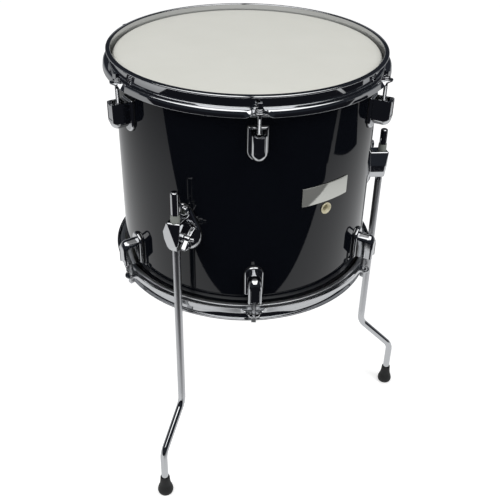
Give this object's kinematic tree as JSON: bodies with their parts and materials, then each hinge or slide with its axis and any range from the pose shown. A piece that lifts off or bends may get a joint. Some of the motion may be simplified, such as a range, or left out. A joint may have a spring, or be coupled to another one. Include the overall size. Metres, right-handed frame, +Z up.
{
  "type": "floor tom",
  "caption": "Floor tom: a short round gloss black drum with pressed hoops, coated heads, low lugs and bent rod legs in side brackets.",
  "frame": {"origin": "centre of the whole part's box, on the floor that its feet stand on", "axes": "+Z up along the drum's axis, -Y towards the side with the front lug, +X towards the right leg"},
  "size_m": [0.4592, 0.474, 0.6162],
  "materials": {
    "black_lacquer": "gloss lacquer over plywood",
    "coated_film": "rough white coating on clear film",
    "aluminium_channel": "mill finish",
    "chromed_steel": "bright chrome plate",
    "chromed_casting": "bright chrome plate on a die casting",
    "zinc_steel": "zinc plate",
    "nickel_plate": "satin nickel plate",
    "brass_eyelet": "plated brass",
    "black_gasket": "moulded, dull",
    "grey_nylon": "moulded nylon",
    "black_rubber": "moulded, dull"
  },
  "bodies": {
    "root": {"shell": "black_lacquer", "batter_head": "coated_film", "batter_flesh_hoop": "aluminium_channel", "batter_counter_hoop": "chromed_steel", "batter_lug_1": "chromed_casting", "batter_lug_2": "chromed_casting", "batter_lug_3": "chromed_casting", "batter_lug_4": "chromed_casting", "batter_lug_5": "chromed_casting", "batter_lug_6": "chromed_casting", "resonant_head": "coated_film", "resonant_flesh_hoop": "aluminium_channel", "resonant_counter_hoop": "chromed_steel", "resonant_lug_1": "chromed_casting", "resonant_lug_2": "chromed_casting", "resonant_lug_3": "chromed_casting", "resonant_lug_4": "chromed_casting", "resonant_lug_5": "chromed_casting", "resonant_lug_6": "chromed_casting", "leg_bracket_front_left": "chromed_casting", "leg_bracket_gasket_front_left": "black_gasket", "leg_bracket_screw_front_left_lower": "zinc_steel", "leg_bracket_screw_front_left_upper": "zinc_steel", "leg_bracket_right": "chromed_casting", "leg_bracket_gasket_right": "black_gasket", "leg_bracket_screw_right_lower": "zinc_steel", "leg_bracket_screw_right_upper": "zinc_steel", "leg_bracket_rear_left": "chromed_casting", "leg_bracket_gasket_rear_left": "black_gasket", "leg_bracket_screw_rear_left_lower": "zinc_steel", "leg_bracket_screw_rear_left_upper": "zinc_steel", "badge": "nickel_plate", "vent_grommet": "brass_eyelet", "vent_washer": "brass_eyelet"},
    "batter_rod_1": {"batter_tension_rod_1": "chromed_steel"},
    "batter_rod_2": {"batter_tension_rod_2": "chromed_steel"},
    "batter_rod_3": {"batter_tension_rod_3": "chromed_steel"},
    "batter_rod_4": {"batter_tension_rod_4": "chromed_steel"},
    "batter_rod_5": {"batter_tension_rod_5": "chromed_steel"},
    "batter_rod_6": {"batter_tension_rod_6": "chromed_steel"},
    "resonant_rod_1": {"resonant_tension_rod_1": "chromed_steel"},
    "resonant_rod_2": {"resonant_tension_rod_2": "chromed_steel"},
    "resonant_rod_3": {"resonant_tension_rod_3": "chromed_steel"},
    "resonant_rod_4": {"resonant_tension_rod_4": "chromed_steel"},
    "resonant_rod_5": {"resonant_tension_rod_5": "chromed_steel"},
    "resonant_rod_6": {"resonant_tension_rod_6": "chromed_steel"},
    "leg_bush_front_left": {"leg_bush_front_left": "grey_nylon"},
    "leg_front_left": {"leg_rod_front_left": "chromed_steel", "leg_foot_front_left": "black_rubber"},
    "wing_bolt_front_left": {"leg_wing_bolt_front_left": "chromed_casting"},
    "leg_bush_right": {"leg_bush_right": "grey_nylon"},
    "leg_right": {"leg_rod_right": "chromed_steel", "leg_foot_right": "black_rubber"},
    "wing_bolt_right": {"leg_wing_bolt_right": "chromed_casting"},
    "leg_bush_rear_left": {"leg_bush_rear_left": "grey_nylon"},
    "leg_rear_left": {"leg_rod_rear_left": "chromed_steel", "leg_foot_rear_left": "black_rubber"},
    "wing_bolt_rear_left": {"leg_wing_bolt_rear_left": "chromed_casting"}
  },
  "joints": [
    {"name": "batter_rod_1_turn", "type": "hinge", "parent": "root", "child": "batter_rod_1", "pos_m": [-0.0381, -0.19662, 0.58455], "axis": [0, 0, 1], "continuous": true},
    {"name": "batter_rod_2_turn", "type": "hinge", "parent": "root", "child": "batter_rod_2", "pos_m": [0.12904, -0.10012, 0.58455], "axis": [0, 0, 1], "continuous": true},
    {"name": "batter_rod_3_turn", "type": "hinge", "parent": "root", "child": "batter_rod_3", "pos_m": [0.12904, 0.09288, 0.58455], "axis": [0, 0, 1], "continuous": true},
    {"name": "batter_rod_4_turn", "type": "hinge", "parent": "root", "child": "batter_rod_4", "pos_m": [-0.0381, 0.18938, 0.58455], "axis": [0, 0, 1], "continuous": true},
    {"name": "batter_rod_5_turn", "type": "hinge", "parent": "root", "child": "batter_rod_5", "pos_m": [-0.20524, 0.09288, 0.58455], "axis": [0, 0, 1], "continuous": true},
    {"name": "batter_rod_6_turn", "type": "hinge", "parent": "root", "child": "batter_rod_6", "pos_m": [-0.20524, -0.10012, 0.58455], "axis": [0, 0, 1], "continuous": true},
    {"name": "resonant_rod_1_turn", "type": "hinge", "parent": "root", "child": "resonant_rod_1", "pos_m": [-0.0381, -0.19662, 0.32455], "axis": [0, 0, 1], "continuous": true},
    {"name": "resonant_rod_2_turn", "type": "hinge", "parent": "root", "child": "resonant_rod_2", "pos_m": [-0.20524, -0.10012, 0.32455], "axis": [0, 0, 1], "continuous": true},
    {"name": "resonant_rod_3_turn", "type": "hinge", "parent": "root", "child": "resonant_rod_3", "pos_m": [-0.20524, 0.09288, 0.32455], "axis": [0, 0, 1], "continuous": true},
    {"name": "resonant_rod_4_turn", "type": "hinge", "parent": "root", "child": "resonant_rod_4", "pos_m": [-0.0381, 0.18938, 0.32455], "axis": [0, 0, 1], "continuous": true},
    {"name": "resonant_rod_5_turn", "type": "hinge", "parent": "root", "child": "resonant_rod_5", "pos_m": [0.12904, 0.09288, 0.32455], "axis": [0, 0, 1], "continuous": true},
    {"name": "resonant_rod_6_turn", "type": "hinge", "parent": "root", "child": "resonant_rod_6", "pos_m": [0.12904, -0.10012, 0.32455], "axis": [0, 0, 1], "continuous": true},
    {"name": "leg_front_left_swivel", "type": "hinge", "parent": "root", "child": "leg_bush_front_left", "pos_m": [-0.1381, -0.17683, 0.4255], "axis": [0, 0, 1], "continuous": true},
    {"name": "leg_front_left_height", "type": "slide", "parent": "leg_bush_front_left", "child": "leg_front_left", "axis": [0, 0, 1], "range_m": [-0.022, 0.13]},
    {"name": "wing_bolt_front_left_turn", "type": "hinge", "parent": "root", "child": "wing_bolt_front_left", "pos_m": [-0.1381, -0.17683, 0.4245], "axis": [0.866, -0.5, 0], "continuous": true},
    {"name": "leg_right_swivel", "type": "hinge", "parent": "root", "child": "leg_bush_right", "pos_m": [0.1619, -0.00362, 0.4345], "axis": [0, 0, 1], "continuous": true},
    {"name": "leg_right_height", "type": "slide", "parent": "leg_bush_right", "child": "leg_right", "axis": [0, 0, 1], "range_m": [-0.022, 0.13]},
    {"name": "wing_bolt_right_turn", "type": "hinge", "parent": "root", "child": "wing_bolt_right", "pos_m": [0.1619, -0.00362, 0.4335], "axis": [0, 1, 0], "continuous": true},
    {"name": "leg_rear_left_swivel", "type": "hinge", "parent": "root", "child": "leg_bush_rear_left", "pos_m": [-0.1381, 0.16958, 0.43], "axis": [0, 0, 1], "continuous": true},
    {"name": "leg_rear_left_height", "type": "slide", "parent": "leg_bush_rear_left", "child": "leg_rear_left", "axis": [0, 0, 1], "range_m": [-0.022, 0.13]},
    {"name": "wing_bolt_rear_left_turn", "type": "hinge", "parent": "root", "child": "wing_bolt_rear_left", "pos_m": [-0.1381, 0.16958, 0.429], "axis": [-0.866, -0.5, 0], "continuous": true}
  ]
}
